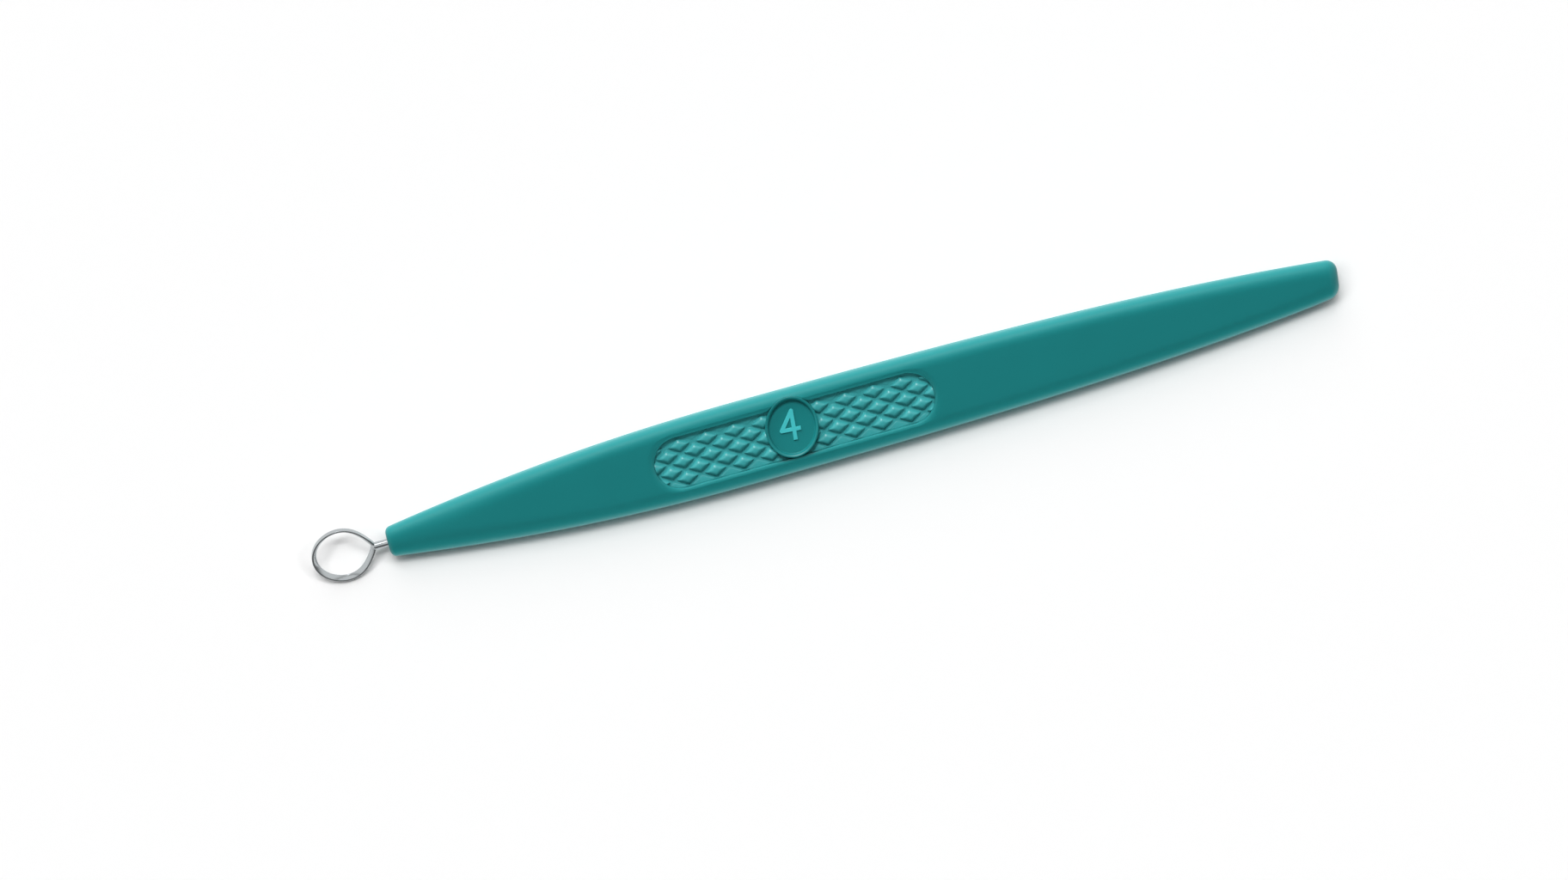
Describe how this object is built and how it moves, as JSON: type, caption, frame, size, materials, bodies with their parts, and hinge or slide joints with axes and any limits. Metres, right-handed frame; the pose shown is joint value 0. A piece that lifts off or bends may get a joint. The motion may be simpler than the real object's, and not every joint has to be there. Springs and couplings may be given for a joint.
{
  "type": "dermal curette",
  "caption": "Hand tool with a slim moulded pen-grip handle, knurled grip pads on both faces and an egg-shaped stainless ring blade on a round shank",
  "frame": {"origin": "under the middle of the tool's length, on the surface that its back lies on", "axes": "+X runs along the handle from the ring blade to the tail, +Y across the handle towards the top of the number, +Z out of the numbered face"},
  "size_m": [0.1406, 0.011, 0.0054],
  "materials": {
    "handle_abs": "satin moulded ABS, teal",
    "grip_abs": "moulded ABS with polished diamond knurl, teal",
    "disc_abs": "satin moulded ABS, teal",
    "number_abs": "moulded ABS, pale turquoise",
    "blade_steel": "polished stainless steel with a honed edge",
    "sleeve_steel": "drawn and crimped stainless steel"
  },
  "bodies": {
    "root": {"handle": "handle_abs", "grip_pad_front_nose": "grip_abs", "grip_pad_front_tail": "grip_abs", "grip_pad_back": "grip_abs", "size_disc": "disc_abs", "size_number": "number_abs", "ring_blade": "blade_steel", "anchor_sleeve": "sleeve_steel"}
  },
  "joints": []
}
